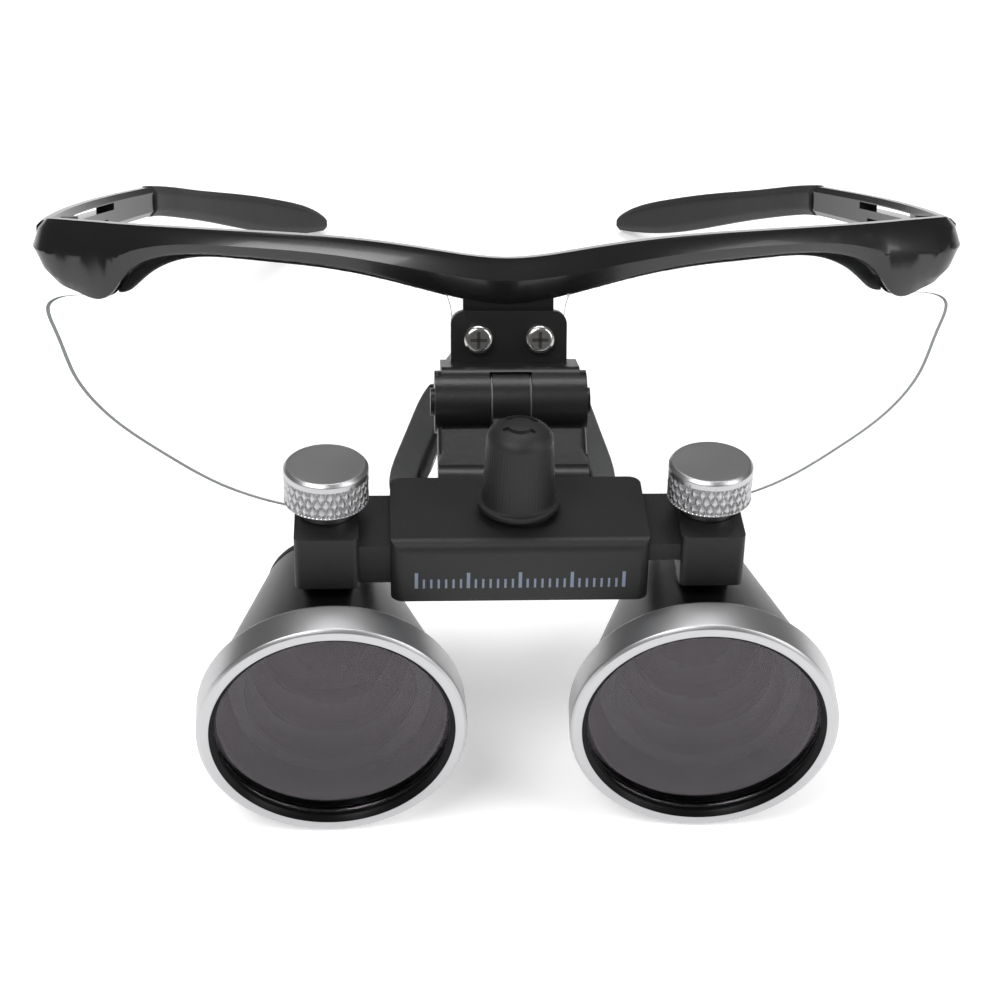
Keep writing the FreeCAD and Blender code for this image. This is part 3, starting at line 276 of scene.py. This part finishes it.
def soften_node(name, width):
    """Bevel and smooth shading on a shown CAD node."""
    node = frame["nodes"][name]
    weld = node.modifiers.new("weld", "WELD")
    weld.merge_threshold = 0.00001
    bevel = node.modifiers.new("edges", "BEVEL")
    bevel.width = width * MM
    bevel.segments = 3
    bevel.limit_method = "ANGLE"
    bevel.angle_limit = math.radians(32)
    bevel.use_clamp_overlap = True
    shade = node.modifiers.new("shade", "WEIGHTED_NORMAL")
    shade.keep_sharp = False


node_slot = {part["node"]: part["material_slot"] for part in record["subparts"]}
for node_name, node in frame["nodes"].items():
    node.data.materials.clear()
    node.data.materials.append(LOOKS[node_slot[node_name]])
for node_name in ("brow_frame", "bridge_bracket", "rail_housing", "flip_link", "slide_left", "slide_right",
                  "temple_left", "temple_right", "nose_saddle"):
    soften_node(node_name, 0.3)
for side_name, side in SIDES:
    soften_node(f"inner_baffle_{side_name}", 0.12)


# ---- soft pieces: remeshed, smoothed copies with their own relief ------------------------


def soft_copy(name, node_name, body, look, voxel=0.3, passes=6, relief=None):
    """Moulded rubber form of a CAD soft solid: rounded all over, with a fine relief."""
    source = frame["nodes"][node_name]
    twin = bpy.data.objects.new(name + "_raw", source.data.copy())
    scene.collection.objects.link(twin)
    remesh = twin.modifiers.new("remesh", "REMESH")
    remesh.mode = "VOXEL"
    remesh.voxel_size = voxel * MM
    smooth = twin.modifiers.new("smooth", "SMOOTH")
    smooth.factor = 0.5
    smooth.iterations = passes
    graph = bpy.context.evaluated_depsgraph_get()
    mesh = bpy.data.meshes.new_from_object(twin.evaluated_get(graph))
    bpy.data.objects.remove(twin)
    if relief:
        offsets = [relief(vertex.co, vertex.normal) * MM for vertex in mesh.vertices]
        for vertex, offset in zip(mesh.vertices, offsets):
            vertex.co = vertex.co + vertex.normal * offset
    return finished(name, mesh, body, look, (node_name,), sharp=180)


def sock_relief(point, normal):
    """Barely visible moulding lines along the sock."""
    along = point.y / MM
    return -0.006 * (0.5 + 0.5 * math.cos(along * 2.0))


def pad_relief(point, normal):
    """Faint cross ribs on the pad."""
    return -0.01 * (0.5 + 0.5 * math.cos(point.z / MM * 3.2))


for side_name, side in SIDES:
    soft_copy(f"moulded_sock_{side_name}", f"ear_sock_{side_name}", f"temple_arm_{side_name}",
              "sock_rubber",
              relief=sock_relief)
    pad = soft_copy(f"moulded_pad_{side_name}", f"nose_pad_{side_name}", "spectacle_frame", "pad_rubber",
                    voxel=0.22, relief=pad_relief)
soft_copy("moulded_liner", "brow_liner", "spectacle_frame", "liner_matte", voxel=0.3, passes=4)


# ---- edges of the clear lenses -------------------------------------------------------------


def lens_rim(name):
    """Pale line where a clear lens shows its cut edge: a thin band just inside the front of the rim."""
    source = frame["nodes"][f"lens_{name}"].data
    centre = WEARER @ Vector((0, LENS_CENTRE_BACK * MM, 0))
    form = bmesh.new()
    form.from_mesh(source)
    bmesh.ops.remove_doubles(form, verts=form.verts, dist=1e-7)
    faces = [face for face in form.faces
             if abs(face.normal.dot((face.calc_center_median() - centre).normalized())) > 0.6]
    bmesh.ops.delete(form, geom=faces, context="FACES")
    form.normal_update()
    outer = max((vertex.co - centre).length for vertex in form.verts)
    for vertex in form.verts:
        out = vertex.co - centre
        reach = outer - (outer - out.length) * 0.24 - 0.03 * MM
        vertex.co = centre + out.normalized() * reach - vertex.normal * 0.05 * MM
    bmesh.ops.solidify(form, geom=form.faces[:], thickness=0.03 * MM)
    bmesh.ops.recalc_face_normals(form, faces=form.faces)
    mesh = bpy.data.meshes.new(f"lens_rim_{name}")
    form.to_mesh(mesh)
    form.free()
    finished(f"lens_rim_{name}", mesh, "spectacle_frame", "lens_edge")


# ---- thumb screws ------------------------------------------------------------------------


def diamond_knurl(radius, height, turn):
    """Crossed helical grooves on the side of the head."""
    if radius < 5.9 or height < 0.6 or height > 4.7:
        return radius, height
    first = abs(math.sin((30 * turn + 2.5 * height) / 2))
    second = abs(math.sin((30 * turn - 2.5 * height) / 2))
    groove = 1 - min(first, second) ** 0.5
    return radius - 0.42 * groove, height


def thumb_screw(name):
    """Shank, collar and knurled head; heights are measured from the underside of the head."""
    place = in_mm(thumb_frame(name)) @ Matrix.Translation((0, 0, THUMB_HEAD_RISE))
    rows = [(6.03, 0.55 + 4.2 * step / 40) for step in range(41)]
    head = softened([(0.0, -8.2), (1.2, -8.2), (1.2, -1.6), (4.05, -1.6), (4.05, 0.02), (5.5, 0.02),
                     (6.03, 0.45),
                     (6.03, 0.55)], 0.12)
    crown = softened([(6.03, 4.75), (6.03, 5.6), (5.6, 6.08), (4.9, 6.08), (2.0, 6.06), (0.0, 6.05)], 0.12)
    turned(f"knurled_thumb_{name}", head + rows[1:-1] + crown, place, f"thumb_knob_{name}",
           "satin_aluminium", (f"thumb_screw_{name}",), count=460, wave=diamond_knurl, closed=False,
           sharp=25)


# ---- turning knob ------------------------------------------------------------------------


def knob_wave(radius, height, turn):
    """Fine upright ribs on the wall and two arc grooves in the dome."""
    if 2.4 < height < 11.5 and radius > 4.5:
        return radius + 0.02 * math.cos(64 * turn), height
    if height > 12.3 and 1.9 < radius < 2.8:
        quarter = math.degrees(turn) % 180
        if 20 < quarter < 140:
            return radius, height - 0.4
    return radius, height


def turning_knob():
    """Coned knob with a rim at its foot and a domed top."""
    rim = softened([(4.4, 1.12), (5.9, 1.12), (5.98, 1.5), (5.98, 1.95), (5.6, 2.1), (5.3, 2.2),
                    (5.2, 2.9)], 0.15)
    wall = [(5.2 - 0.42 * step / 24, 2.9 + 8.7 * step / 24) for step in range(1, 25)]
    dome = []
    for step in range(1, 61):
        turn = math.radians(90 * step / 60)
        dome.append((4.78 * math.cos(turn) ** 0.8, 11.6 + 2.67 * math.sin(turn)))
    turned("coned_knob", rim + wall + dome[:-1] + [(0.0, 14.27)], in_mm(KNOB), "knob", "knob_rubber",
           ("knob_cap",),
           count=384, wave=knob_wave, closed=False, sharp=50)


# ---- barrels ------------------------------------------------------------------------------


def barrel(name):
    """Ring, black seat, cone, objective and eyecup of one telescope."""
    place = in_mm(barrel_frame(name))
    body = f"telescope_{name}"
    ring = softened([(17.65, 5.95), (17.65, 1.5), (17.02, 1.5), (17.02, 0.75), (17.65, 0.04), (19.0, 0.04),
                     (19.46, 0.45), (19.46, 5.5), (19.1, 5.97), (17.7, 5.97)], 0.16)
    turned(f"satin_ring_{name}", ring, place, body, "satin_aluminium", (f"objective_ring_{name}",),
           count=220)
    seat = softened([(16.95, 1.45), (16.95, 0.72), (17.6, 0.01), (17.72, 0.02), (17.05, 0.78),
                     (17.05, 1.45)], 0.05)
    turned(f"lens_seat_{name}", seat, place, body, "barrel_black", count=220)
    cone = softened([(16.2, 4.25), (17.6, 4.25), (17.6, 6.06), (17.95, 6.06), (18.0, 6.4), (17.7, 7.4),
                     (9.5, 32.2),
                     (9.1, 32.98), (7.0, 32.98), (6.9, 31.9), (8.9, 26.8), (16.4, 7.0)], 0.3)
    turned(f"gloss_cone_{name}", cone, place, body, "barrel_black", (f"barrel_shell_{name}",), count=220)
    glass_face = softened([(0.0, 1.02), (6.0, 1.12), (12.0, 1.48), (17.45, 2.02), (17.48, 2.4),
                           (17.48, 4.08),
                           (12.0, 4.09), (0.0, 4.09)], 0.3)
    turned(f"coated_objective_{name}", glass_face, place, body, "optic_glass", (f"objective_lens_{name}",),
           closed=False)
    cup = softened([(6.5, 34.1), (6.5, 33.15), (9.15, 33.15), (9.0, 34.2), (8.6, 34.58), (7.0, 34.58)],
                   0.15)
    turned(f"soft_eyecup_{name}", cup, place, body, "eyecup_rubber", (f"eyepiece_ring_{name}",), count=160)


# ---- printed scale on the rail -------------------------------------------------------------


def printed_scale():
    """Generic tick scale printed on the front of the rail, a hair proud of it."""
    mesh = bpy.data.meshes.new("rail_scale_print")
    form = bmesh.new()
    place = in_mm(KNOB)
    front = -9.02
    for index in range(-14, 15):
        tall = 2.6 if index % 7 == 0 else 1.5
        wide = 0.16 if index % 7 else 0.24
        middle = index * 1.05
        low = -7.4
        corners = [(middle - wide, low), (middle + wide, low), (middle + wide, low + tall),
                   (middle - wide, low + tall)]
        lower = [form.verts.new(place @ Vector((x, front + 0.03, z))) for x, z in corners]
        upper = [form.verts.new(place @ Vector((x, front, z))) for x, z in corners]
        form.faces.new(upper)
        form.faces.new(list(reversed(lower)))
        for step in range(4):
            after = (step + 1) % 4
            form.faces.new((lower[step], lower[after], upper[after], upper[step]))
    bmesh.ops.recalc_face_normals(form, faces=form.faces)
    form.to_mesh(mesh)
    form.free()
    finished("rail_scale_print", mesh, "rail", "scale_print")


def screw_cross(name, side):
    """Shadowed floor of the cross recess in one bracket screw."""
    mesh = bpy.data.meshes.new(f"screw_cross_{name}")
    form = bmesh.new()
    place = in_mm(WEARER)
    for tilt in (0, 90):
        turn = math.radians(tilt)
        arm = Vector((math.cos(turn), 0, math.sin(turn)))
        edge = Vector((-math.sin(turn), 0, math.cos(turn)))
        centre = Vector((side * BRACKET_SCREW[0], *BRACKET_SCREW[1:]))
        corners = [centre + arm * along + edge * over for along,
                   over in ((-1.25, -0.25), (1.25, -0.25), (1.25, 0.25), (-1.25, 0.25))]
        front = [form.verts.new(place @ (corner + Vector((0, -0.64, 0)))) for corner in corners]
        back = [form.verts.new(place @ corner) for corner in corners]
        form.faces.new(front)
        form.faces.new(list(reversed(back)))
        for step in range(4):
            after = (step + 1) % 4
            form.faces.new((front[step], back[step], back[after], front[after]))
    bmesh.ops.recalc_face_normals(form, faces=form.faces)
    form.to_mesh(mesh)
    form.free()
    finished(f"screw_cross_{name}", mesh, "spectacle_frame", "cross_shadow")


for side_name, side in SIDES:
    screw_cross(side_name, side)
    lens_rim(side_name)
    thumb_screw(side_name)
    barrel(side_name)
turning_knob()
printed_scale()


# ---- floor, light and camera ----------------------------------------------------------------


def plain(name, colour, roughness, glow):
    """Even surface with a little light of its own."""
    made = bpy.data.materials.new(name)
    made.use_nodes = True
    shader = made.node_tree.nodes["Principled BSDF"]
    shader.inputs["Base Color"].default_value = (*colour, 1)
    shader.inputs["Roughness"].default_value = roughness
    shader.inputs["Specular IOR Level"].default_value = 0.1
    shader.inputs["Emission Color"].default_value = (1, 1, 1, 1)
    shader.inputs["Emission Strength"].default_value = glow
    return made


def floor():
    mesh = bpy.data.meshes.new("floor")
    reach = 6.0
    mesh.from_pydata([(-reach, -reach, 0), (reach, -reach, 0), (reach, reach, 0), (-reach, reach, 0)], [],
                     [(0, 1, 2, 3)])
    made = bpy.data.objects.new("floor", mesh)
    mesh.materials.append(plain("floor_white", (0.9, 0.9, 0.9), 0.9, 0.42))
    scene.collection.objects.link(made)
    made.location.z = -0.0002


def area_light(name, location, target, size, power, tall=None):
    data = bpy.data.lights.new(name, "AREA")
    data.energy = power
    data.shape = "RECTANGLE"
    data.size = size
    data.size_y = tall or size
    made = bpy.data.objects.new(name, data)
    made.location = location
    made.rotation_euler = (Vector(target) - Vector(location)).to_track_quat("-Z", "Y").to_euler()
    scene.collection.objects.link(made)


def lights():
    world = bpy.data.worlds.new("studio")
    scene.world = world
    world.use_nodes = True
    world.node_tree.nodes["Background"].inputs["Color"].default_value = (1, 1, 1, 1)
    world.node_tree.nodes["Background"].inputs["Strength"].default_value = 0.14
    area_light("key", (-0.35, -0.45, 0.75), (0, -0.02, 0.03), 0.5, 4.5, 0.35)
    area_light("fill", (0.55, -0.35, 0.45), (0, -0.03, 0.03), 0.3, 2.2, 0.6)
    area_light("top", (0.0, 0.25, 0.8), (0, 0, 0.03), 0.6, 2.8, 0.3)


def camera():
    """Long lens from above the front, matched to the viewing angle of the loupes."""
    turn = math.radians(-3.5)
    rise = math.radians(35.4)
    across = Vector((math.cos(turn), math.sin(turn), 0))
    ahead = Vector((-math.sin(turn), math.cos(turn), 0))
    look = ahead * math.cos(rise) - Vector((0, 0, 1)) * math.sin(rise)
    up = ahead * math.sin(rise) + Vector((0, 0, 1)) * math.cos(rise)
    lean = math.radians(1.6)
    leaning_across = across * math.cos(lean) + up * math.sin(lean)
    leaning_up = up * math.cos(lean) - across * math.sin(lean)
    middle = WEARER @ Vector((1.0 * MM, -BROW_TO_HINGE * MM, 0))
    data = bpy.data.cameras.new("photo_camera")
    data.lens = 90
    data.sensor_width = 36
    data.clip_start = 0.01
    made = bpy.data.objects.new("photo_camera", data)
    made.matrix_world = axes(middle - look * 0.4 - up * 0.0421, leaning_across, leaning_up, -look)
    scene.collection.objects.link(made)
    scene.camera = made


floor()
lights()
camera()
scene.view_settings.view_transform = "Standard"
